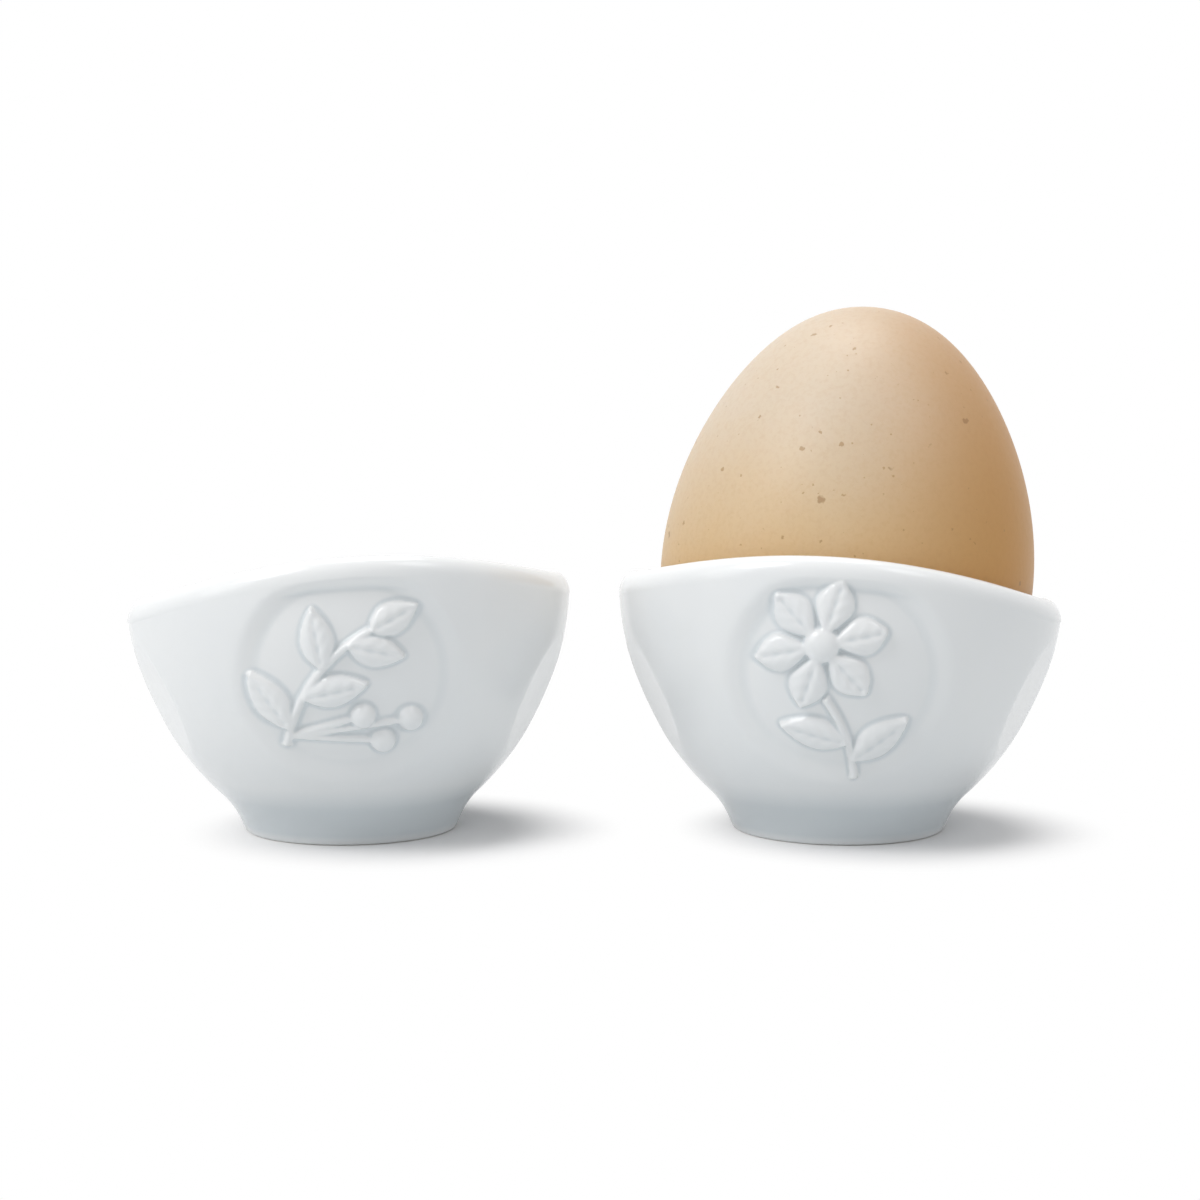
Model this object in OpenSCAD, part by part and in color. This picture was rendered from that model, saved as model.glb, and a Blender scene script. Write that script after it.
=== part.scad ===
// Pair of white porcelain egg cups that belong together, the right one holding a hen's egg.
// Millimetres. X runs from the left cup to the right one, the fronts face -Y, and +Z is up.
// The origin is on the table, halfway between the cups.

/* [Egg] */
// Widest diameter of the egg
egg_d = 47.8; // [44:0.2:52]
// Length of the egg from tip to tip
egg_l = 61.5; // [58:0.5:66]
// Length of the pointed half, above the widest place
egg_point_l = 34.5; // [32:0.5:38]
// How much slimmer the pointed half is than half an ellipse, as a share
egg_taper_share = 0.056; // [0:0.002:0.1]
// Lean of the egg in its cup towards the right, in degrees
egg_lean = 5.6; // [0:0.2:6]
// How far the egg sits to the right of the middle of its cup
egg_shift = 0.8; // [0:0.1:1]

/* [Fit of the egg in its cup] */
// Gap under the egg at the bottom of the seat
seat_gap = 0.3; // [0.2:0.05:0.8]
// Gap round the egg at its widest place
mouth_gap = 1.3; // [0.9:0.1:2]
// Thickness of the floor under the seat
floor_t = 4.6; // [3:0.1:7]
// Thickness of the wall at the rim
rim_wall = 3.3; // [2.6:0.1:4.5]

/* [Cup] */
// Height of the rim at the sides, halfway between the low side and the high side
side_h = 31.2; // [29:0.1:34]
// Rise of the rim at the front above the sides
front_rise = 5.9; // [4:0.1:7]
// Fall of the rim at the back below the sides
back_fall = 4.4; // [2:0.1:6]
// How much higher the rim is on the side next to the other cup
side_slant = 3.4; // [0:0.1:5]
// Lean of the outer wall from upright at the rim, in degrees
wall_lean = 1.9; // [0:0.1:4]
// Distance between the middles of the two cups
cup_spacing = 63.4; // [62:0.2:100]
// Turn of each cup towards the middle, in degrees
cup_turn = 5.8; // [0:0.2:15]

/* [Foot] */
// Diameter of the foot on the table
foot_d = 27.4; // [26:0.1:30]
// How far the hollow curve above the foot reaches outwards, to where the round wall starts
flare_w = 3.1; // [2:0.1:3.6]
// Height at which the round wall starts
flare_h = 5.1; // [4:0.1:6]
// Width of the ring that the cup stands on
foot_ring_w = 2.2; // [1.6:0.1:4]
// Depth of the hollow inside the ring
foot_recess_h = 1; // [0.6:0.1:2]

/* [Finger flats] */
// Height of the middle of a flat
flat_z = 17.5; // [15:0.5:20]
// Depth of a flat below the round wall
flat_depth = 0.85; // [0.4:0.05:1.6]
// Angle from the front of the cup to the middle of a flat, in degrees
flat_angle = 72; // [68:1:84]

/* [Relief] */
// Diameter of the round sunk field on the front
field_d = 27; // [25:0.5:28]
// Height of the middle of the field
field_z = 22.8; // [22:0.1:23.5]
// Depth of the field below the wall
field_depth = 0.8; // [0.4:0.1:1]
// Height of leaves and petals above the floor of the field
relief_h = 1.1; // [0.9:0.1:1.4]
// Length of the longest leaf
leaf_l = 8.6; // [7:0.2:9]
// Width of a leaf
leaf_w = 4.2; // [3:0.2:4.6]
// Width of a stem
stem_w = 1.1; // [0.8:0.1:1.6]
// Diameter of a berry
berry_d = 3.2; // [2.4:0.1:3.6]
// Length of a petal from the middle of the blossom
petal_l = 8.2; // [6:0.2:8.6]
// Width of a petal
petal_w = 4.8; // [3:0.2:5]
// Diameter of the round middle of the blossom
eye_d = 4.6; // [3:0.2:5]

/* [Hidden] */
// Fineness of true circles
$fn = 96;
// Straight steps in the outlines that are turned into round walls
wall_steps = 18;
flare_steps = 6;
seat_steps = 24;
egg_steps = 56;
// Overrun of every cut past the surface that it leaves
over = 2;

egg_r = egg_d / 2;
egg_blunt_l = egg_l - egg_point_l;
// Height of the widest place of the egg, which is also the middle of the seat
seat_z = foot_recess_h + floor_t + seat_gap + egg_blunt_l;
seat_r = egg_r + mouth_gap;
seat_h = egg_blunt_l + seat_gap;

rim_r = seat_r + rim_wall;
foot_r = foot_d / 2;
// Places of the outline in radius and height: edge of the foot, start of the round wall, rim
foot_edge = [foot_r, 0];
waist = [foot_r + flare_w, flare_h];
rim_edge = [rim_r, side_h];
// The wall is one arc from waist to rim; a chord leans by the mean of the leans at its ends
wall_chord = rim_edge - waist;
wall_chord_lean = atan2(wall_chord.x, wall_chord.y);
waist_lean = 2 * wall_chord_lean - wall_lean;
wall_arc_r = norm(wall_chord) / (2 * sin(wall_chord_lean - wall_lean));
arc_mid = rim_edge + wall_arc_r * [-cos(wall_lean), sin(wall_lean)];
// The hollow curve is one arc from foot to waist, where it runs smoothly into the wall
flare_chord = waist - foot_edge;
flare_chord_lean = atan2(flare_chord.x, flare_chord.y);
foot_lean = 2 * flare_chord_lean - waist_lean;
flare_arc_r = norm(flare_chord) / (2 * sin(waist_lean - flare_chord_lean));
flare_mid = waist + flare_arc_r * [cos(waist_lean), -sin(waist_lean)];
wall_top = side_h + front_rise + side_slant + over;
top_angle = asin(min(1, (wall_top - arc_mid.y) / wall_arc_r));

// The rim lies on a level arch across the cup at the front and on a sloping plane at the back; both are
// slanted sideways, and the plane passes this far above the inside of the crest
crest_gap = 0.1;
arch_r = (rim_r * rim_r + front_rise * front_rise) / (2 * front_rise);
back_slope = (front_rise + crest_gap + back_fall) / (seat_r + rim_r);
rim_slant = atan(side_slant / 2 / rim_r);

field_r = field_d / 2;
// Leaf sprig: places are shares of the radius of the field, seen from the front
stem_mid_shares = [0.87, -0.87];
stem_arc_share = 1.45;
stem_from = 172;
stem_to = 118;
leaf_first = 165;
leaf_step = 12.5;
leaf_count = 4;
leaf_spread = 50;
leaf_shrink_share = 0.06;
berry_shares = [[0.3, -0.62], [0.55, -0.42], [0.12, -0.38]];
stalk_foot_shares = [-0.55, -0.57];
// Blossom with its stem and leaves: each leaf has its place along the stem and its turn
blossom_shares = [-0.15, 0.28];
petal_count = 6;
petal_turn = 12;
petal_start_share = 0.08;
flower_stem_mid_shares = [-1.26, -1.04];
flower_stem_arc_share = 1.41;
flower_stem_from = 3;
flower_stem_to = 36;
flower_leaves = [[10, -62], [17, 58]];
// Height of the edge of a leaf and of a stem, as shares of the height of its ridge
edge_share = 0.45;
stem_h_share = 0.7;

function arc(mid, r, from, to, steps) =
    [for (i = [0 : steps]) mid + r * [cos(from + (to - from) * i / steps), sin(from + (to - from) * i / steps)]];

// Half width of the egg at angle a, from -90 at the blunt end to 90 at the pointed end
function egg_half(a) = egg_r * cos(a) * (1 - (a > 0 ? egg_taper_share * sin(a) * sin(2 * a) : 0));

function in_field(shares) = [shares.x * field_r, shares.y * field_r];

// Radius of the outer wall at height z
function wall_r(z) = arc_mid.x + sqrt(wall_arc_r * wall_arc_r - (z - arc_mid.y) * (z - arc_mid.y));

// Solid of the outer wall, grown outwards by a small amount; the foot keeps its size
module wall_body(grow) {
    rotate_extrude()
        polygon(concat(
            [[0, 0]],
            arc(flare_mid, flare_arc_r - grow, 180 - foot_lean, 180 - waist_lean, flare_steps),
            arc(arc_mid, wall_arc_r + grow, -waist_lean, top_angle, wall_steps),
            [[0, wall_top]]
        ));
}

// Hollow that the egg sits in: half an ellipse, then straight up through the rim
module seat() {
    rotate_extrude()
        polygon(concat(
            [for (i = [0 : seat_steps]) let (a = -90 + 90 * i / seat_steps)
                [seat_r * cos(a), seat_z + seat_h * sin(a)]],
            [[seat_r, wall_top + over], [0, wall_top + over]]
        ));
}

// Everything above the wavy rim; inner is 1 where the other cup is on the +X side, else -1
module above_rim(inner) {
    span = 2 * (rim_r + over);
    translate([0, 0, side_h])
        rotate([0, -inner * rim_slant, 0]) {
            rotate([90, 0, 0])
                linear_extrude(2 * span, center = true)
                    difference() {
                        translate([-span, -over])
                            square([2 * span, span]);
                        translate([0, front_rise - arch_r])
                            circle(arch_r, $fn = 720);
                    }
            translate([0, rim_r, -back_fall])
                rotate([-atan(back_slope), 0, 0])
                    translate([-span, -span, 0])
                        cube(2 * span);
        }
}

// A plane cut that leaves a lens-shaped flat; side is 1 to the right of the front, else -1
module finger_flat(side) {
    tilt = asin((arc_mid.y - flat_z) / wall_arc_r);
    rotate([0, 0, side * flat_angle - 90])
        translate([wall_r(flat_z), 0, flat_z])
            rotate([0, tilt, 0])
                translate([-flat_depth, -rim_r / 2, -rim_r / 2])
                    cube([rim_r / 2, rim_r, rim_r]);
}

// A flat outline drawn from the front, pushed back through the front wall
module from_front() {
    translate([0, -seat_r / 2, field_z])
        rotate([90, 0, 0])
            linear_extrude(rim_r)
                children();
}

// The space of the sunk field in front of its floor
module field_space() {
    difference() {
        from_front()
            circle(field_r);
        wall_body(-field_depth);
    }
}

// Puts children on the floor of the field at a place seen from the front, +Z out of the wall
module on_floor(place) {
    z = field_z + place.y;
    r = wall_r(z) - field_depth;
    lean = asin((arc_mid.y - z) / wall_arc_r);
    rotate([0, 0, asin(place.x / r)])
        translate([0, -r, z])
            rotate([90 + lean, 0, 0])
                children();
}

// Outline along X about the origin, with a point at each end
module leaf_outline(length, width) {
    bow = (length * length + width * width) / (4 * width);
    intersection() {
        translate([0, bow - width / 2])
            circle(bow);
        translate([0, width / 2 - bow])
            circle(bow);
    }
}

// Leaf or petal with a ridge along its middle; it starts at a place and runs at an angle
module leaf(start, angle, length, width) {
    on_floor(start + length / 2 * [cos(angle), sin(angle)])
        rotate([0, 0, angle])
            intersection() {
                translate([0, 0, -relief_h])
                    linear_extrude(2 * relief_h)
                        leaf_outline(length, width);
                rotate([90, 0, 90])
                    linear_extrude(length + over, center = true)
                        polygon([
                            [-width / 2, -relief_h],
                            [width / 2, -relief_h],
                            [width / 2, relief_h * edge_share],
                            [0, relief_h],
                            [-width / 2, relief_h * edge_share]
                        ]);
            }
}

// A round berry or blossom eye, half sunk in the floor of the field
module bead(place, d) {
    on_floor(place)
        sphere(d / 2, $fn = 32);
}

// Stem outline along an arc
module stem_outline(mid, r, from, to) {
    translate(mid)
        intersection() {
            difference() {
                circle(r + stem_w / 2);
                circle(r - stem_w / 2);
            }
            polygon([[0, 0], 2 * r * [cos(from), sin(from)], 2 * r * [cos(to), sin(to)]]);
        }
}

// Straight stalk outline between two places
module stalk_outline(from, to) {
    way = to - from;
    translate(from)
        rotate([0, 0, atan2(way.y, way.x)])
            translate([0, -stem_w / 2])
                square([norm(way), stem_w]);
}

// Stems with flat tops that follow the wall; their outline comes as the child
module stems() {
    intersection() {
        from_front()
            children();
        wall_body(relief_h * stem_h_share - field_depth);
    }
}

// Diagonal sprig: a bowed stem with leaves on both sides, one at its tip, and three berries
module sprig() {
    mid = in_field(stem_mid_shares);
    r = stem_arc_share * field_r;
    stems() {
        stem_outline(mid, r, stem_from, stem_to);
        for (b = berry_shares)
            stalk_outline(in_field(stalk_foot_shares), in_field(b));
    }
    for (i = [0 : leaf_count - 1]) {
        a = leaf_first - leaf_step * i;
        turn = i % 2 == 0 ? leaf_spread : -leaf_spread;
        leaf(mid + r * [cos(a), sin(a)], a - 90 + turn, leaf_l * (1 - leaf_shrink_share * i), leaf_w);
    }
    leaf(mid + r * [cos(stem_to), sin(stem_to)], stem_to - 90, leaf_l * (1 - leaf_shrink_share * leaf_count), leaf_w);
    for (b = berry_shares)
        bead(in_field(b), berry_d);
}

// Blossom with a round eye on a bowed stem with leaves
module blossom() {
    mid = in_field(flower_stem_mid_shares);
    r = flower_stem_arc_share * field_r;
    eye = in_field(blossom_shares);
    stems()
        stem_outline(mid, r, flower_stem_from, flower_stem_to);
    for (at = flower_leaves)
        leaf(mid + r * [cos(at[0]), sin(at[0])], 90 + at[0] + at[1], leaf_l, leaf_w);
    for (i = [0 : petal_count - 1]) {
        a = petal_turn + 360 * i / petal_count;
        leaf(eye + petal_start_share * field_r * [cos(a), sin(a)], a, petal_l - petal_start_share * field_r, petal_w);
    }
    bead(eye, eye_d);
}

// Wall of one cup with its flats, field, seat, foot ring and wavy rim; children stand in the field
module cup(inner) {
    difference() {
        union() {
            difference() {
                wall_body(0);
                field_space();
                finger_flat(1);
                finger_flat(-1);
            }
            children();
        }
        seat();
        above_rim(inner);
        translate([0, 0, -over])
            cylinder(h = foot_recess_h + over, r = foot_r - foot_ring_w);
    }
}

module left_cup() {
    color([0.95, 0.95, 0.96])
        translate([-cup_spacing / 2, 0, 0])
            rotate([0, 0, cup_turn])
                cup(1)
                    sprig();
}

module right_cup() {
    color([0.93, 0.94, 0.95])
        translate([cup_spacing / 2, 0, 0])
            rotate([0, 0, -cup_turn])
                cup(-1)
                    blossom();
}

// The egg leans a little to the right in its seat
module egg() {
    color([0.86, 0.71, 0.53])
        translate([cup_spacing / 2 + egg_shift, 0, seat_z])
            rotate([0, egg_lean, 0])
                rotate_extrude()
                    polygon([for (i = [0 : egg_steps]) let (a = -90 + 180 * i / egg_steps)
                        [egg_half(a), (a > 0 ? egg_point_l : egg_blunt_l) * sin(a)]]);
}

left_cup();
right_cup();
egg();
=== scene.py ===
"""Looks of a pair of white porcelain egg cups, the right one with a brown hen's egg in it."""

import math

import bmesh
import bpy
import numpy as np
from mathutils import Matrix, Vector


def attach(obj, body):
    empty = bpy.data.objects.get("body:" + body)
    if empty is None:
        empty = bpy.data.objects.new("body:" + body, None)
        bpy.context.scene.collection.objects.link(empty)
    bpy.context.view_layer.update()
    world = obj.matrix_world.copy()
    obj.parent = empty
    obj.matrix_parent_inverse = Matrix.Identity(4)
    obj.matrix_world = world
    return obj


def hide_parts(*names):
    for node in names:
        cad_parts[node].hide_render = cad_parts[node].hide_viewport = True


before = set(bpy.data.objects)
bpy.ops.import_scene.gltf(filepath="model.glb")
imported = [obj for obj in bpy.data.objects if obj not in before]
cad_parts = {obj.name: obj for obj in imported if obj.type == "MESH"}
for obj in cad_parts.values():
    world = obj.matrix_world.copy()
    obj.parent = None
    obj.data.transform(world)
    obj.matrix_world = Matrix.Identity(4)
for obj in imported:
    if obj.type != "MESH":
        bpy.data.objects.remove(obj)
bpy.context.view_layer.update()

# Metres in a millimetre; every size below is in millimetres, as the part has it
MM = 0.001

# Sizes of a cup
CUP_SPACING = 63.4
CUP_TURN = math.radians(5.8)
# Seat for the egg, half an ellipse: its radius, the height of its middle, and its depth below that
SEAT_R = 25.2
SEAT_Z = 32.9
SEAT_H = 27.3
# Wavy rim: its height at the sides, how far it rises at the front, falls at the back and slants from side to
# side, and how far the plane of its back passes above the arch of its front, at the front of the seat
RIM_R = 28.5
SIDE_H = 31.2
FRONT_RISE = 5.9
BACK_FALL = 4.4
SIDE_SLANT = 3.4
CREST_GAP = 0.1
RIM_BLEND = 0.9
# The wall's lean from upright at the rim, and the height of the rounded lip above it
WALL_LEAN = math.radians(1.9)
LIP_H = 2.2
# Foot, and the radius and height of the waist above it
FOOT_R = 13.7
RING_W = 2.2
RECESS_H = 1.0
WAIST = (16.8, 5.1)
EDGE_ROUND = 0.5
RECESS_ROUND = 0.4
# How far the ring's rounded outer edge reaches into the hollow curve above it, so that the two meet smoothly
EDGE_OVERLAP = 0.08
# Finger flats on the sides
FLAT_Z = 17.5
FLAT_DEPTH = 0.85
FLAT_ANGLE = math.radians(72)
FLAT_BLEND = 0.1
# Round sunk field on the front. Its edge slopes from a little outside its radius to further inside.
FIELD_R = 13.5
FIELD_Z = 22.8
FIELD_DEPTH = 0.8
FIELD_EDGE_OUT = 0.6
FIELD_EDGE_IN = 2.4
# Share by which the field is deeper near its top, and the height above its middle where that is reached
FIELD_DEEPER = 0.45
FIELD_DEEPER_AT = 11
# Relief in the field, and how far outside and inside the field's radius it fades out
RELIEF_H = 1.1
RELIEF_EDGE_OUT = 0.3
RELIEF_EDGE_IN = 0.5

# Sizes of the egg: its widest radius, its lengths from there to the pointed and the blunt end, and the share
# by which it is slimmer than half an ellipse on the way to the point
EGG_R = 23.9
EGG_POINT = 34.48
EGG_BLUNT = 27.0
EGG_TAPER = 0.056
EGG_LEAN = math.radians(5.6)
EGG_SHIFT = 0.8


# Helpers

def smooth_step(low, high, x):
    """0 below low, 1 above high, and a smooth rise between."""
    t = np.clip((x - low) / (high - low), 0, 1)
    return t * t * (3 - 2 * t)


def smooth_max(a, b, blend):
    """The larger of two heights, with the corner between them rounded over about blend."""
    return (a + b + np.sqrt((a - b) ** 2 + blend * blend)) / 2


def arc_points(mid, radius, start, end, steps):
    """Points on an arc; angles are in degrees."""
    angles = np.radians(np.linspace(start, end, steps + 1))
    return [(mid[0] + radius * math.cos(a), mid[1] + radius * math.sin(a)) for a in angles]


def arc_through(low, high, high_lean):
    """Centre and radius of the arc between two points, and its lean from upright at the lower one, given the
    lean at the upper one."""
    chord = (high[0] - low[0], high[1] - low[1])
    chord_lean = math.atan2(*chord)
    radius = math.hypot(*chord) / (2 * math.sin(chord_lean - high_lean))
    mid = (high[0] - radius * math.cos(high_lean), high[1] + radius * math.sin(high_lean))
    return mid, abs(radius), 2 * chord_lean - high_lean


# The wall is one arc from waist to rim, and the curve above the foot is another that meets it at the waist
WALL_MID, WALL_ARC_R, WAIST_LEAN = arc_through(WAIST, (RIM_R, SIDE_H), WALL_LEAN)
FLARE_MID, FLARE_ARC_R, FOOT_LEAN = arc_through((FOOT_R, 0.0), WAIST, WAIST_LEAN)
# Steepness of the rim's back, from the front of the seat to the back of the rim, and of its sideways slant
BACK_SLOPE = (FRONT_RISE + CREST_GAP + BACK_FALL) / (SEAT_R + RIM_R)
SLANT = SIDE_SLANT / 2 / RIM_R


def wall_radius(z):
    """Outer radius of the cup at a height above its waist."""
    return WALL_MID[0] + np.sqrt(np.maximum(WALL_ARC_R ** 2 - (z - WALL_MID[1]) ** 2, 0))


def rim_height(x, y, inner):
    """Height of the wavy rim: an arch at the front that runs smoothly into a slope at the back. inner is 1
    where the other cup is on the +X side, else -1."""
    arch = FRONT_RISE * (1 - (x / RIM_R) ** 2)
    slope = BACK_SLOPE * (RIM_R - y) - BACK_FALL
    # The blend fades out towards the front, so that the crest keeps its height
    blend = RIM_BLEND * smooth_step(-0.9 * RIM_R, -0.3 * RIM_R, y)
    low = arch + slope - smooth_max(arch, slope, blend)
    return SIDE_H + low + SLANT * inner * x


# Cup shape

STEPS_ROUND = 350
STEPS_WALL = 172
STEPS_LIP = 14
STEPS_SEAT = 40
# Length of the curve of the seat from its widest place to its bottom
BOWL_LENGTH = math.pi / 4 * (SEAT_R + SEAT_H)
# Share by which the steps round the cup are narrower at its front, where the relief is
FRONT_CROWDING = 0.68


def base_points():
    """Outline from the middle of the hollow under the foot, round the ring, and up to the waist."""
    ring_in = FOOT_R - RING_W
    recess_edge = (ring_in - RECESS_ROUND, RECESS_H - RECESS_ROUND)
    outer_edge = (FOOT_R - EDGE_ROUND + EDGE_OVERLAP, EDGE_ROUND)
    points = [(share * ring_in, RECESS_H) for share in (0, 0.3, 0.6, 0.85)]
    points += arc_points(recess_edge, RECESS_ROUND, 90, 0, 3)
    points += arc_points((ring_in + EDGE_ROUND, EDGE_ROUND), EDGE_ROUND, 180, 270, 4)
    points += arc_points(outer_edge, EDGE_ROUND, 270, 350, 5)
    # The curve above the foot starts 4 degrees along its arc, where the rounded edge ends
    start = 180 - math.degrees(FOOT_LEAN) - 4
    points += arc_points(FLARE_MID, FLARE_ARC_R, start, 180 - math.degrees(WAIST_LEAN), 16)
    return points


BASE = base_points()
BASE_ALONG = np.linspace(0, 1, len(BASE))


def cup_outline(along, azimuth, inner):
    """Radius and height on the cup. along is 0 to 1 on the base, to 2 on the wall, to 3 on the lip and to 4
    in the seat; azimuth is the angle from the front."""
    middle = (RIM_R + SEAT_R) / 2
    crown = rim_height(middle * np.sin(azimuth), -middle * np.cos(azimuth), inner)
    outer_r = wall_radius(crown - LIP_H)
    beside = rim_height(outer_r * np.sin(azimuth), -outer_r * np.cos(azimuth), inner)
    fall = beside - crown
    seat_top = crown - LIP_H - fall
    below = np.arcsin(np.clip((SEAT_Z - seat_top) / SEAT_H, 0, 1))
    inner_r = SEAT_R * np.cos(below)
    middle = (outer_r + inner_r) / 2
    half = (outer_r - inner_r) / 2
    base_r = np.interp(along, BASE_ALONG, [p[0] for p in BASE])
    base_z = np.interp(along, BASE_ALONG, [p[1] for p in BASE])
    wall_z = WAIST[1] + (along - 1) * (crown - LIP_H + fall - WAIST[1])
    # The lip is half an ellipse from wall to seat, higher on one side where the rim slants across it
    turn = np.pi * (along - 2)
    lip_r = middle + half * np.cos(turn)
    lip_z = crown - LIP_H + LIP_H * np.sin(turn) + fall * np.cos(turn)
    # The seat goes straight down where it starts above the middle of its bowl, then follows the bowl
    upright = np.maximum(seat_top - SEAT_Z, 0)
    straight = upright / (upright + BOWL_LENGTH)
    down = np.clip((along - 3) / np.maximum(straight, 1e-6), 0, 1)
    bowl = below + (np.pi / 2 - below) * np.clip((along - 3 - straight) / (1 - straight), 0, 1)
    seat_r = SEAT_R * np.cos(bowl)
    seat_z = SEAT_Z + upright * (1 - down) - SEAT_H * np.sin(bowl)
    where = [along < 1, along < 2, along < 3]
    r = np.select(where, [base_r, wall_radius(wall_z), lip_r], seat_r)
    z = np.select(where, [base_z, wall_z, lip_z], seat_z)
    return r, z


# Meshes

def spun(name, outline, steps):
    """A full turn about Z of an outline of (radius, height, place) points. The attribute "along" keeps each
    point's place on the outline."""
    mesh = bmesh.new()
    along = mesh.verts.layers.float.new("along")
    chain = [mesh.verts.new((0, -r * MM, z * MM)) for r, z, _ in outline]
    for vert, (_, _, place) in zip(chain, outline):
        vert[along] = place
    edges = [mesh.edges.new(pair) for pair in zip(chain, chain[1:])]
    bmesh.ops.spin(mesh, geom=chain + edges, axis=(0, 0, 1), cent=(0, 0, 0), dvec=(0, 0, 0),
                   angle=2 * math.pi, steps=steps, use_merge=True)
    bmesh.ops.remove_doubles(mesh, verts=mesh.verts, dist=0.0001 * MM)
    bmesh.ops.recalc_face_normals(mesh, faces=mesh.faces)
    for face in mesh.faces:
        face.smooth = True
    data = bpy.data.meshes.new(name)
    mesh.to_mesh(data)
    mesh.free()
    piece = bpy.data.objects.new(name, data)
    bpy.context.scene.collection.objects.link(piece)
    return piece


def read_points(piece):
    """The vertices of a piece, in millimetres."""
    flat = np.empty(3 * len(piece.data.vertices), np.float32)
    piece.data.vertices.foreach_get("co", flat)
    return flat.reshape(-1, 3).astype(float) / MM


def write_points(piece, points):
    piece.data.vertices.foreach_set("co", (points * MM).astype(np.float32).ravel())
    piece.data.update()


def read_attribute(piece, name):
    values = np.empty(len(piece.data.vertices), np.float32)
    piece.data.attributes[name].data.foreach_get("value", values)
    return values.astype(float)


def write_attribute(piece, name, values):
    attribute = piece.data.attributes.get(name) or piece.data.attributes.new(name, "FLOAT", "POINT")
    attribute.data.foreach_set("value", values.astype(np.float32))


# Relief in the field on the front; x runs right and z up from the middle of the field

MIDRIB_W = 0.42
MIDRIB_DEPTH = 0.26
VEIN_SPACING = 1.7
VEIN_H = 0.035
LEAF_L = 8.6
LEAF_W = 4.2
BERRY_D = 3.2
BERRY_H = 1.45
PETAL_L = 7.1
PETAL_W = 4.8
EYE_D = 4.6
EYE_H = 1.6


def leaf(x, z, start, heading, length, width, height=RELIEF_H, widest=0.45):
    """Domed leaf with a sunk midrib and faint side veins."""
    c, s = math.cos(heading), math.sin(heading)
    u = ((x - start[0]) * c + (z - start[1]) * s) / length
    v = (z - start[1]) * c - (x - start[0]) * s
    power = math.log(0.5) / math.log(widest)
    inside = np.clip(u, 0, 1) ** power
    # Half the leaf's width there, and how far in from its edge a place is
    half = width / 2 * np.sin(np.pi * inside) ** 0.8
    share = np.clip(1 - (v / np.maximum(half, 0.01)) ** 2, 0, 1)
    dome = height * share ** 0.45 * smooth_step(0, 0.25, share + 0.15)
    midrib = MIDRIB_DEPTH * np.exp(-(v / MIDRIB_W) ** 2)
    midrib *= smooth_step(0, 0.15, inside) * smooth_step(1, 0.8, inside)
    veins = VEIN_H * np.cos(2 * np.pi * (u * length - 0.9 * np.abs(v)) / VEIN_SPACING)
    veins *= smooth_step(0.1, 0.6, share)
    return np.where((u > 0) & (u < 1), dome - midrib * (share > 0) + veins * (share > 0), 0)


def stem(x, z, mid, radius, start, end, width=1.1, height=0.75):
    """Round stem along an arc; angles are in degrees."""
    angle = np.degrees(np.arctan2(z - mid[1], x - mid[0]))
    off = np.abs(np.hypot(x - mid[0], z - mid[1]) - radius) / (width / 2)
    return np.where((angle > start) & (angle < end), height * np.sqrt(np.clip(1 - off ** 2, 0, 1)), 0)


def stalk(x, z, start, end, width=0.9, height=0.6):
    """Round straight stalk between two places."""
    way = np.array(end) - np.array(start)
    length = np.hypot(*way)
    u = ((x - start[0]) * way[0] + (z - start[1]) * way[1]) / length
    off = ((z - start[1]) * way[0] - (x - start[0]) * way[1]) / length / (width / 2)
    return np.where((u > 0) & (u < length), height * np.sqrt(np.clip(1 - off ** 2, 0, 1)), 0)


def bead(x, z, place, diameter, height):
    """Round berry or blossom eye."""
    off = np.hypot(x - place[0], z - place[1]) / (diameter / 2)
    return height * np.sqrt(np.clip(1 - off ** 2, 0, 1))


def in_field(shares):
    return (shares[0] * FIELD_R, shares[1] * FIELD_R)


def on_arc(mid, radius, angle):
    return arc_points(mid, radius, angle, angle, 0)[0]


def sprig(x, z):
    """Diagonal sprig with leaves on both sides and three berries."""
    mid, radius = in_field((0.87, -0.87)), 1.45 * FIELD_R
    height = stem(x, z, mid, radius, 118, 172)
    for i in range(4):
        angle = 165 - 12.5 * i
        turn = 50 if i % 2 == 0 else -50
        heading = math.radians(angle - 90 + turn)
        length = LEAF_L * (1 - 0.06 * i)
        height = np.maximum(height, leaf(x, z, on_arc(mid, radius, angle), heading, length, LEAF_W))
    tip = on_arc(mid, radius, 118)
    height = np.maximum(height, leaf(x, z, tip, math.radians(28), LEAF_L * 0.76, LEAF_W))
    for shares in ((0.3, -0.62), (0.55, -0.42), (0.12, -0.38)):
        place = in_field(shares)
        height = np.maximum(height, stalk(x, z, in_field((-0.55, -0.57)), place))
        height = np.maximum(height, bead(x, z, place, BERRY_D, BERRY_H))
    return height


def blossom(x, z):
    """Open blossom of six petals on a bowed stem with two leaves."""
    mid, radius = in_field((-1.26, -1.04)), 1.41 * FIELD_R
    height = stem(x, z, mid, radius, 3, 36)
    for angle, turn in ((10, -62), (17, 58)):
        heading = math.radians(90 + angle + turn)
        height = np.maximum(height, leaf(x, z, on_arc(mid, radius, angle), heading, LEAF_L, LEAF_W))
    eye = in_field((-0.15, 0.28))
    for i in range(6):
        turn = 12 + 60 * i
        start = on_arc(eye, 0.08 * FIELD_R, turn)
        petal = leaf(x, z, start, math.radians(turn), PETAL_L, PETAL_W, widest=0.58)
        height = np.maximum(height, petal)
    return np.maximum(height, bead(x, z, eye, EYE_D, EYE_H))


# Cups

# How often the points of field and relief are moved halfway to the mean of their neighbours
SOFTEN_TIMES = 2
# How far a point lies below its neighbours where glaze pools fully, after the mean is taken that many times
POOL_DEPTH = 0.016
POOL_TIMES = 6
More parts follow.
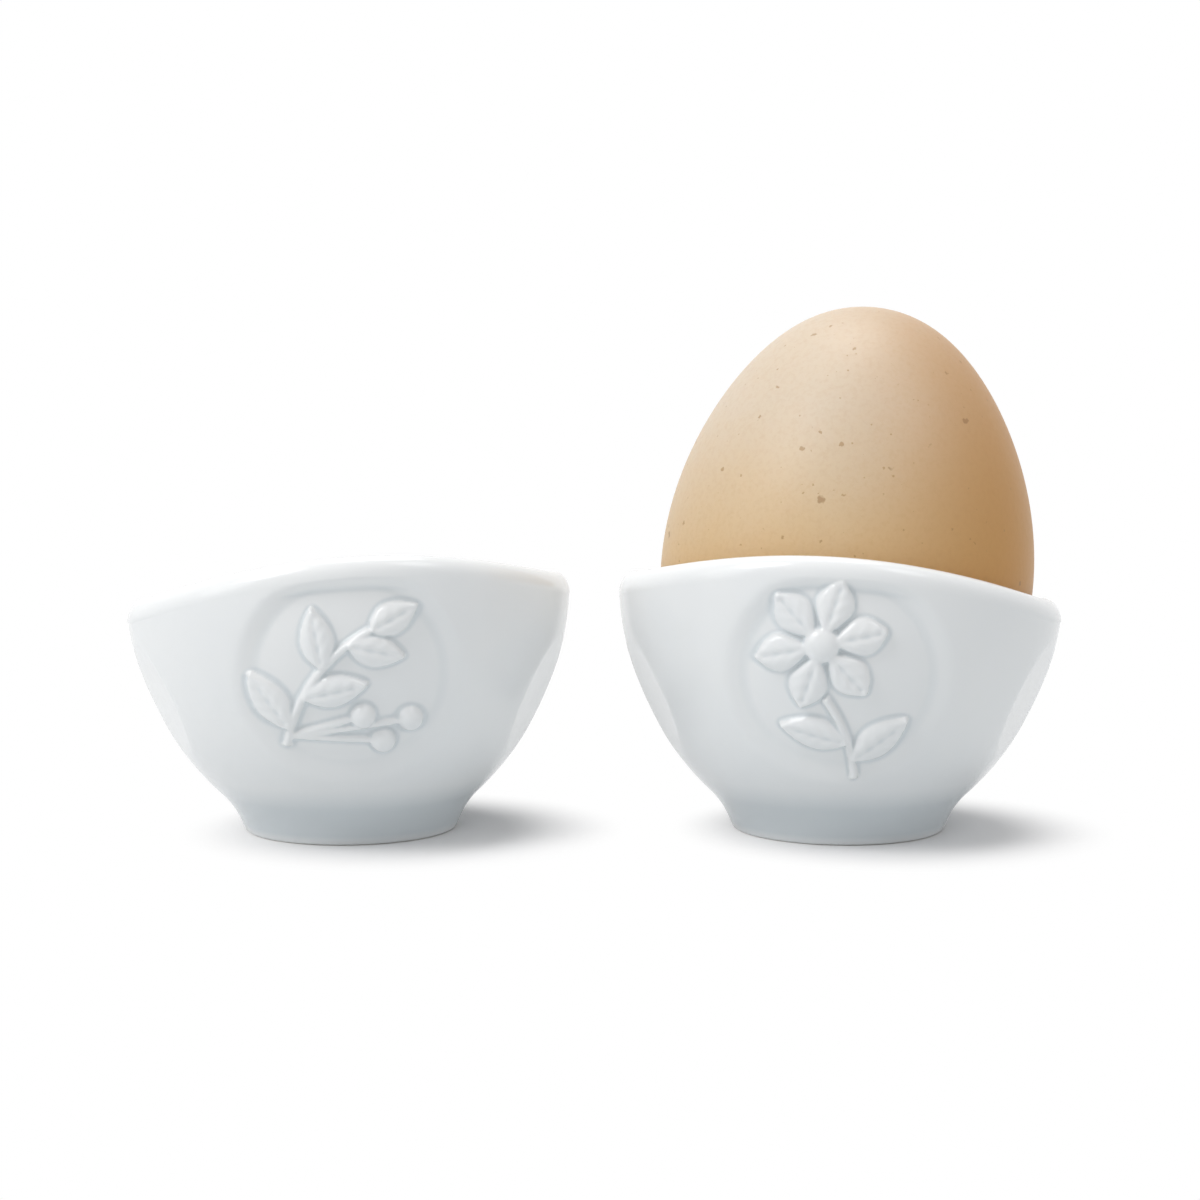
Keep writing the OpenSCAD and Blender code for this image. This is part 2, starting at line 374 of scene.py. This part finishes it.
# Heights at which the painted shade in the curve above the foot, under the bowl, starts, is full, starts to
# thin out, and ends; it takes the cool tint of glaze that pools
FLARE_SHADE = (0.2, 1.5, 3.5, 9)


def flat_cut(points, side):
    """Pushes the points of the wall back to the plane of a finger flat, with a narrow soft edge."""
    lean = math.asin((WALL_MID[1] - FLAT_Z) / WALL_ARC_R)
    across = np.array([side * math.sin(FLAT_ANGLE), -math.cos(FLAT_ANGLE), 0])
    normal = math.cos(lean) * across - math.sin(lean) * np.array([0, 0, 1])
    middle = float(wall_radius(FLAT_Z)) * across + np.array([0, 0, FLAT_Z]) - FLAT_DEPTH * normal
    proud = (points - middle) @ normal
    near = points @ across > 0.5 * FOOT_R
    push = np.where(near & (proud > -1), smooth_max(proud, 0, FLAT_BLEND) - FLAT_BLEND ** 2 / 4, 0)
    return points - np.outer(push, normal)


def neighbour_mean(piece, values):
    """For each vertex, the mean of the values at its neighbours."""
    pairs = np.empty(2 * len(piece.data.edges), np.int32)
    piece.data.edges.foreach_get("vertices", pairs)
    a, b = pairs.reshape(-1, 2).T
    many = len(values)
    count = np.maximum(np.bincount(pairs, minlength=many), 1)
    means = [(np.bincount(a, column[b], many) + np.bincount(b, column[a], many)) / count
             for column in values.reshape(many, -1).T]
    return np.stack(means, 1).reshape(values.shape)


def plain_cup(along, azimuth, inner):
    """Points of a cup without relief or flats, and the directions that its wall faces there."""
    r, z = cup_outline(along, azimuth, inner)
    lean = np.arcsin(np.clip((WALL_MID[1] - z) / WALL_ARC_R, -1, 1))
    points = np.stack([r * np.sin(azimuth), -r * np.cos(azimuth), z], 1)
    normals = np.stack([np.cos(lean) * np.sin(azimuth), -np.cos(lean) * np.cos(azimuth), -np.sin(lean)], 1)
    return points, normals


def field_height(x, up, relief):
    """How far the front stands out from the plain wall; below 0 where it is sunk."""
    edge = np.hypot(x, up)
    depth = FIELD_DEPTH * smooth_step(FIELD_R + FIELD_EDGE_OUT, FIELD_R - FIELD_EDGE_IN, edge)
    depth *= 1 + FIELD_DEEPER * smooth_step(0, FIELD_DEEPER_AT, up)
    raised = relief(x, up) * smooth_step(FIELD_R + RELIEF_EDGE_OUT, FIELD_R - RELIEF_EDGE_IN, edge)
    return raised - depth


def glaze_pool_and_shade(piece, points, normals, front, flare_shade):
    """Where glaze pools: 1 in hollows, 0 on plain wall and -1 on edges. front is 1 on the front of the wall,
    and the last argument is 1 in the hollow curve above the foot, where the same tint is painted shade under
    the bowl."""
    hollow = np.einsum("ij,ij->i", neighbour_mean(piece, points) - points, normals) * front
    for _ in range(POOL_TIMES):
        hollow = (hollow + neighbour_mean(piece, hollow)) / 2
    return np.clip(hollow / POOL_DEPTH + flare_shade, -1, 1)


def make_cup(name, inner, relief):
    """One cup with its front turned a little towards the middle of the pair. inner is 1 for the left cup and
    -1 for the right one, and relief gives the height of its relief over the field."""
    places = list(BASE_ALONG[:-1])
    places += list(1 + np.arange(STEPS_WALL) / STEPS_WALL)
    places += list(2 + np.arange(STEPS_LIP) / STEPS_LIP)
    places += list(3 + np.arange(STEPS_SEAT + 1) / STEPS_SEAT)
    radii, heights = cup_outline(np.array(places), 0.0, inner)
    piece = spun(name, list(zip(radii, heights, places)), STEPS_ROUND)

    points = read_points(piece)
    along = read_attribute(piece, "along")
    azimuth = np.arctan2(points[:, 0], -points[:, 1])
    azimuth -= FRONT_CROWDING * np.sin(azimuth)
    points, normals = plain_cup(along, azimuth, inner)

    # The field and its relief lie on the front half of the wall and fade out just under the lip
    on_wall = (along >= 1) & (along <= 2) & (np.abs(azimuth) < np.pi / 2)
    front = on_wall * smooth_step(2, 1.94, along)
    height = points[:, 2].copy()
    # Painted shade: the hollow curve above the foot, shaded by the bowl, takes the cool tint of glaze that
    # pools
    start, full, thin, end = FLARE_SHADE
    flare_shade = smooth_step(start, full, height) * smooth_step(end, thin, height) * (along > 0.5) * (along < 2)
    x, up = points[:, 0], height - FIELD_Z
    soften = (front > 0.05) & (np.hypot(x, up) < FIELD_R + 1)
    points += normals * (front * field_height(x, up, relief))[:, None]

    walls = (along > 0.9) & (along < 2)
    for side in (1, -1):
        points[walls] = flat_cut(points[walls], side)

    # Glaze softens the edges of field and relief
    for _ in range(SOFTEN_TIMES):
        points[soften] = (points + neighbour_mean(piece, points))[soften] / 2
    write_attribute(piece, "hollow", glaze_pool_and_shade(piece, points, normals, front, flare_shade))

    turn = inner * CUP_TURN
    c, s = math.cos(turn), math.sin(turn)
    spin = np.array([[c, -s, 0], [s, c, 0], [0, 0, 1]])
    points = points @ spin.T + np.array([-inner * CUP_SPACING / 2, 0, 0])
    write_points(piece, points)
    return piece


left_cup = make_cup("left_cup_glazed", 1, sprig)
right_cup = make_cup("right_cup_glazed", -1, blossom)


# Egg

EGG_STEPS_UP = 96
EGG_STEPS_ROUND = 160


def make_egg():
    """Whole egg, leaning about the middle of its seat."""
    outline = []
    for i in range(EGG_STEPS_UP + 1):
        a = math.radians(-90 + 180 * i / EGG_STEPS_UP)
        slim = 1 - EGG_TAPER * math.sin(a) * math.sin(2 * a) if a > 0 else 1
        length = EGG_POINT if a > 0 else EGG_BLUNT
        outline.append((EGG_R * math.cos(a) * slim, length * math.sin(a), i))
    piece = spun("egg_shell", outline, EGG_STEPS_ROUND)
    place = Matrix.Translation(Vector((CUP_SPACING / 2 + EGG_SHIFT, 0, SEAT_Z)) * MM)
    piece.data.transform(place @ Matrix.Rotation(EGG_LEAN, 4, "Y"))
    return piece


egg = make_egg()


# Materials

def to_linear(hex_colour):
    """Linear RGBA of an sRGB hex colour."""
    parts = [int(hex_colour[i:i + 2], 16) / 255 for i in (1, 3, 5)]
    return tuple(p / 12.92 if p <= 0.04045 else ((p + 0.055) / 1.055) ** 2.4 for p in parts) + (1.0,)


def add(owner, kind, links=(), **settings):
    """Adds a node to a material or the world. links maps an input's name or number to a value or to another
    node's socket. By number, a map range reads 1 to 2 and gives 3 to 4, and a mix takes its values at 2 and
    3, or its colours at 6 and 7."""
    node = owner.node_tree.nodes.new(kind)
    for name, value in settings.items():
        setattr(node, name, value)
    for name, value in dict(links).items():
        if isinstance(value, bpy.types.NodeSocket):
            owner.node_tree.links.new(value, node.inputs[name])
        else:
            node.inputs[name].default_value = value
    return node


def new_material(name):
    material = bpy.data.materials.new(name)
    material.use_nodes = True
    material.node_tree.nodes.clear()
    return material


def per_metre(size_mm):
    """Scale of a pattern whose features are that many millimetres wide."""
    return 1 / (size_mm * MM)


def glazed_porcelain():
    """Hard porcelain, slip cast and dipped in clear glaze: white, glossy, faintly cool where glaze pools in
    hollows, with the same tint as painted shade in the curve above the foot, and bare and matt on the ring
    that it was fired on."""
    material = new_material("glazed_porcelain")
    place = add(material, "ShaderNodeTexCoord").outputs["Object"]
    # Cool tint where glaze pools in hollows; in the curve above the foot the same tint is painted shade
    # under the bowl
    hollow = add(material, "ShaderNodeAttribute", attribute_name="hollow").outputs["Fac"]
    pooled_and_shade = add(material, "ShaderNodeMapRange", {"Value": hollow, 1: 0.05, 2: 0.9, 4: 0.75})
    drift = add(material, "ShaderNodeTexNoise", {"Vector": place, "Scale": per_metre(14), "Detail": 2.0})
    body = add(material, "ShaderNodeMix", {0: drift.outputs["Fac"], 6: to_linear("#F4F4F3"),
                                           7: to_linear("#EFF1F2")}, data_type="RGBA")
    cool = add(material, "ShaderNodeMix", {0: pooled_and_shade.outputs[0], 6: body.outputs[2],
                                           7: to_linear("#DAE0E3")}, data_type="RGBA")
    # The ring under the foot is ground clean of glaze, below this height
    bare_h = 0.16
    height = add(material, "ShaderNodeSeparateXYZ", {"Vector": place}).outputs["Z"]
    bare = add(material, "ShaderNodeMapRange", {"Value": height, 1: bare_h * MM, 2: 0.7 * bare_h * MM})
    grit = add(material, "ShaderNodeTexNoise", {"Vector": place, "Scale": per_metre(0.25), "Detail": 3.0})
    biscuit = add(material, "ShaderNodeMix", {0: grit.outputs["Fac"], 6: to_linear("#E9E7E1"),
                                              7: to_linear("#DAD6CE")}, data_type="RGBA")
    colour = add(material, "ShaderNodeMix", {0: bare.outputs[0], 6: cool.outputs[2], 7: biscuit.outputs[2]},
                 data_type="RGBA")
    # Glaze ripples: long soft waves, and a finer skin
    waves = add(material, "ShaderNodeTexNoise", {"Vector": place, "Scale": per_metre(5), "Detail": 1.0})
    skin = add(material, "ShaderNodeTexNoise", {"Vector": place, "Scale": per_metre(0.8), "Detail": 1.0})
    soft = add(material, "ShaderNodeBump", {"Height": waves.outputs["Fac"], "Strength": 0.25,
                                            "Distance": 0.12 * MM})
    fine = add(material, "ShaderNodeBump", {"Height": skin.outputs["Fac"], "Strength": 0.12,
                                            "Distance": 0.02 * MM, "Normal": soft.outputs["Normal"]})
    gloss = add(material, "ShaderNodeMapRange", {"Value": skin.outputs["Fac"], 3: 0.14, 4: 0.2})
    rough = add(material, "ShaderNodeMix", {0: bare.outputs[0], 2: gloss.outputs[0], 3: 0.65})
    shader = add(material, "ShaderNodeBsdfPrincipled", {
        "Base Color": colour.outputs[2], "Roughness": rough.outputs[0], "IOR": 1.5,
        "Normal": fine.outputs["Normal"], "Subsurface Weight": 0.12, "Subsurface Scale": 0.7 * MM,
        "Subsurface Radius": (1.0, 1.0, 0.95)})
    add(material, "ShaderNodeOutputMaterial", {"Surface": shader.outputs["BSDF"]})
    return material


def flecked(material, place, ground, spacing, radius, left_out, shade):
    """Ragged round flecks of a shade on a ground colour. The spacing and the largest radius are in
    millimetres, and left_out is the share of the places for flecks that stay empty."""
    # Every place is shifted a little this way and that, which makes the edges ragged
    ragged = add(material, "ShaderNodeTexNoise", {"Vector": place, "Scale": per_metre(radius),
                                                  "Detail": 2.0})
    shift = add(material, "ShaderNodeVectorMath", {0: ragged.outputs["Color"], 1: (0.5, 0.5, 0.5)},
                operation="SUBTRACT")
    reach = (1.6 * radius * MM,) * 3
    bent = add(material, "ShaderNodeVectorMath", {0: shift.outputs[0], 1: reach, 2: place},
               operation="MULTIPLY_ADD")
    cells = add(material, "ShaderNodeTexVoronoi", {"Vector": bent.outputs[0], "Scale": per_metre(spacing)})
    chance = add(material, "ShaderNodeSeparateColor", {"Color": cells.outputs["Color"]})
    size = add(material, "ShaderNodeMapRange", {"Value": chance.outputs["Red"], 1: left_out, 2: 1.0,
                                                3: 0.0, 4: radius / spacing})
    gap = add(material, "ShaderNodeMath", {0: size.outputs[0], 1: cells.outputs["Distance"]},
              operation="SUBTRACT")
    fleck = add(material, "ShaderNodeMapRange", {"Value": gap.outputs[0], 1: 0.0,
                                                 2: 0.25 * radius / spacing, 4: 0.6})
    return add(material, "ShaderNodeMix", {0: fleck.outputs[0], 6: ground, 7: to_linear(shade)},
               data_type="RGBA").outputs[2]


def brown_eggshell():
    """Brown hen's eggshell: satin, finely pored, mottled, with scattered darker brown flecks; painted sheen
    on top, painted shade on the right.
    """
    material = new_material("brown_eggshell")
    place = add(material, "ShaderNodeTexCoord").outputs["Object"]
    # The shell grows a little lighter towards its pointed end: partly its own colour, which also drifts at
    # random, and partly a painted sheen of the lamps above
    clouds = add(material, "ShaderNodeTexNoise", {"Vector": place, "Scale": per_metre(16), "Detail": 3.0})
    spot = add(material, "ShaderNodeSeparateXYZ", {"Vector": place})
    height, across = spot.outputs["Z"], spot.outputs["X"]
    sheen_upward = add(material, "ShaderNodeMapRange", {"Value": height, 1: SEAT_Z * MM,
                                                  2: (SEAT_Z + 0.75 * EGG_POINT) * MM})
    pale = add(material, "ShaderNodeMath", {0: clouds.outputs["Fac"], 1: 0.3, 2: sheen_upward.outputs[0]},
               operation="MULTIPLY_ADD")
    pale_tip_and_sheen = add(material, "ShaderNodeMix", {0: pale.outputs[0], 6: to_linear("#DBB57A"),
                                            7: to_linear("#D8C7B1")}, data_type="RGBA")
    # Painted shade: the shell turns a darker, deeper brown down its right side, away from the key lamp
    middle = CUP_SPACING / 2
    shade_rightward = add(material, "ShaderNodeMapRange", {"Value": across, 1: (middle - 0.25 * EGG_R) * MM,
                                                     2: (middle + 0.95 * EGG_R) * MM, 4: 0.9},
                    interpolation_type="SMOOTHSTEP")
    tone_and_shade = add(material, "ShaderNodeMix", {0: shade_rightward.outputs[0], 6: pale_tip_and_sheen.outputs[2],
                                           7: to_linear("#C58D45")}, data_type="RGBA")
    # Pigment lies in fine dots, drawn about twice as wide as real ones so that they show
    dots = add(material, "ShaderNodeTexNoise", {"Vector": place, "Scale": per_metre(0.7), "Detail": 3.0,
                                                "Roughness": 0.7})
    dust = add(material, "ShaderNodeMapRange", {"Value": dots.outputs["Fac"], 1: 0.45, 2: 0.75, 4: 0.16})
    mottled = add(material, "ShaderNodeMix", {0: dust.outputs[0], 6: tone_and_shade.outputs[2],
                                              7: to_linear("#B98A55")}, data_type="RGBA")
    flecks = mottled.outputs[2]
    # Distance between flecks, their radius, share of them that is left out, and colour
    for spacing, radius, left_out, shade in ((1.2, 0.2, 0.5, "#AC8654"), (2.3, 0.42, 0.55, "#A27A48"),
                                             (4.6, 0.85, 0.6, "#977044")):
        flecks = flecked(material, place, flecks, spacing, radius, left_out, shade)
    # Pores, also drawn coarser than real ones, and the long swells of the shell
    pores = add(material, "ShaderNodeTexVoronoi", {"Vector": place, "Scale": per_metre(0.55)},
                feature="SMOOTH_F1")
    swell = add(material, "ShaderNodeTexNoise", {"Vector": place, "Scale": per_metre(2.4), "Detail": 3.0})
    pitted = add(material, "ShaderNodeBump", {"Height": pores.outputs["Distance"], "Strength": 0.22,
                                              "Distance": 0.03 * MM})
    wavy = add(material, "ShaderNodeBump", {"Height": swell.outputs["Fac"], "Strength": 0.3,
                                            "Distance": 0.06 * MM, "Normal": pitted.outputs["Normal"]})
    gloss = add(material, "ShaderNodeMapRange", {"Value": dots.outputs["Fac"], 3: 0.36, 4: 0.5})
    shader = add(material, "ShaderNodeBsdfPrincipled", {
        "Base Color": flecks, "Roughness": gloss.outputs[0], "IOR": 1.5, "Normal": wavy.outputs["Normal"],
        "Specular IOR Level": 0.35,
        "Subsurface Weight": 0.15, "Subsurface Scale": 1.2 * MM, "Subsurface Radius": (1.0, 0.6, 0.35)})
    add(material, "ShaderNodeOutputMaterial", {"Surface": shader.outputs["BSDF"]})
    return material


porcelain = glazed_porcelain()
for cup, node in ((left_cup, "left_cup"), (right_cup, "right_cup")):
    cup.data.materials.append(porcelain)
    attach(cup, "cups")
    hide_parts(node)

egg.data.materials.append(brown_eggshell())
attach(egg, "egg")
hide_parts("egg")


# Stage: floor, white surroundings, lamps and camera

FLOOR_HALF_M = 2.0
ROOM_LIGHT = 0.5
# Middle of the pair of shadows, and the distances from the middle of either shadow at which the floor starts
# to run into the white background and where it is all white
SHADOW_MIDDLE = (7, -2, 0)
SHADOW_REACH = (13, 29)
# Place that the lamps point at, in metres
AIM = (0, 0, 0.03)


def seen_or_reflected(owner):
    """1 for rays from the camera, from reflections and through glass; 0 where a surface lights another."""
    path = add(owner, "ShaderNodeLightPath").outputs
    either = add(owner, "ShaderNodeMath", {0: path["Is Camera Ray"], 1: path["Is Glossy Ray"]},
                 operation="MAXIMUM")
    return add(owner, "ShaderNodeMath", {0: either.outputs[0], 1: path["Is Transmission Ray"]},
               operation="MAXIMUM").outputs[0]


def table_paper():
    """Smooth white paper, made to return a little less light to the cups than it shows. Further out it glows
    white and runs into the white background, which paints light over the far ends of the cast shadows."""
    material = new_material("table_paper")
    seen = seen_or_reflected(material)
    colour = add(material, "ShaderNodeMix", {0: seen, 6: to_linear("#D9DDDF"), 7: to_linear("#F0EFEF")},
                 data_type="RGBA")
    paper = add(material, "ShaderNodeBsdfDiffuse", {"Color": colour.outputs[2]})
    white = add(material, "ShaderNodeEmission", {"Color": to_linear("#FFFFFF"), "Strength": 1.0})
    place = add(material, "ShaderNodeTexCoord").outputs["Object"]
    # Distance from the nearer shadow's middle: the two are alike about the line between them
    aside = add(material, "ShaderNodeVectorMath", {0: place, 1: Vector(SHADOW_MIDDLE) * MM},
                operation="SUBTRACT")
    folded = add(material, "ShaderNodeVectorMath", {0: aside.outputs[0]}, operation="ABSOLUTE")
    out = add(material, "ShaderNodeVectorMath", {0: folded.outputs[0], 1: (CUP_SPACING / 2 * MM, 0, 0)},
              operation="SUBTRACT")
    reach = add(material, "ShaderNodeVectorMath", {0: out.outputs[0]}, operation="LENGTH")
    # Painted light: past the reach the floor glows white over the outer parts of the cast shadows, which
    # keeps them tight
    beyond = add(material, "ShaderNodeMapRange", {"Value": reach.outputs["Value"], 1: SHADOW_REACH[0] * MM,
                                                  2: SHADOW_REACH[1] * MM}, interpolation_type="SMOOTHSTEP")
    share = add(material, "ShaderNodeMath", {0: beyond.outputs[0], 1: seen}, operation="MULTIPLY")
    both = add(material, "ShaderNodeMixShader", {0: share.outputs[0], 1: paper.outputs[0],
                                                 2: white.outputs[0]})
    add(material, "ShaderNodeOutputMaterial", {"Surface": both.outputs[0]})
    return material


def make_floor():
    mesh = bmesh.new()
    bmesh.ops.create_grid(mesh, x_segments=1, y_segments=1, size=FLOOR_HALF_M)
    data = bpy.data.meshes.new("floor")
    mesh.to_mesh(data)
    mesh.free()
    floor = bpy.data.objects.new("floor", data)
    bpy.context.scene.collection.objects.link(floor)
    floor.data.materials.append(table_paper())


def make_world():
    """White behind everything, and a dimmer cool light from all round."""
    world = bpy.data.worlds.new("white_room")
    bpy.context.scene.world = world
    world.use_nodes = True
    world.node_tree.nodes.clear()
    seen = seen_or_reflected(world)
    colour = add(world, "ShaderNodeMix", {0: seen, 6: to_linear("#F6F6F7"), 7: to_linear("#FFFFFF")},
                 data_type="RGBA")
    level = add(world, "ShaderNodeMapRange", {"Value": seen, 3: ROOM_LIGHT, 4: 1.0})
    light = add(world, "ShaderNodeBackground", {"Color": colour.outputs[2], "Strength": level.outputs[0]})
    add(world, "ShaderNodeOutputWorld", {"Surface": light.outputs[0]})


def softbox(name, place, width, power):
    """Round soft lamp that points at the set, in metres and watts."""
    lamp = bpy.data.lights.new(name, "AREA")
    lamp.shape = "DISK"
    lamp.size = width
    lamp.energy = power
    holder = bpy.data.objects.new(name, lamp)
    holder.location = place
    holder.rotation_euler = (Vector(AIM) - Vector(place)).to_track_quat("-Z", "Y").to_euler()
    bpy.context.scene.collection.objects.link(holder)


make_floor()
make_world()
# The key comes from the upper left and throws the shadows to the right, as in the photograph
softbox("key_upper_left", (-0.5, -0.34, 0.62), 0.4, 2.15)
softbox("fill_left", (-0.75, -0.3, 0.35), 0.5, 0.8)
softbox("fill_upper_right", (0.5, -0.4, 0.8), 0.4, 0.95)
softbox("top", (0.0, 0.1, 0.9), 0.6, 3.15)

# Camera: the focal length is in pixels of a photograph 1200 wide, which is a sensor 36 mm wide
PHOTO_PX = 1200
SENSOR_W = 36
FOCAL_PX = 2400
PITCH_DOWN = math.radians(5.17)
DISTANCE = 310.6
LOOK_AT = (0.74, 29.59)

camera_data = bpy.data.cameras.new("camera")
camera_data.sensor_width = SENSOR_W
camera_data.lens = SENSOR_W * FOCAL_PX / PHOTO_PX
camera = bpy.data.objects.new("camera", camera_data)
camera.location = Vector((LOOK_AT[0], -DISTANCE * math.cos(PITCH_DOWN),
                          LOOK_AT[1] + DISTANCE * math.sin(PITCH_DOWN))) * MM
camera.rotation_euler = (math.pi / 2 - PITCH_DOWN, 0, 0)
bpy.context.scene.collection.objects.link(camera)
bpy.context.scene.camera = camera
bpy.context.scene.view_settings.view_transform = "Standard"
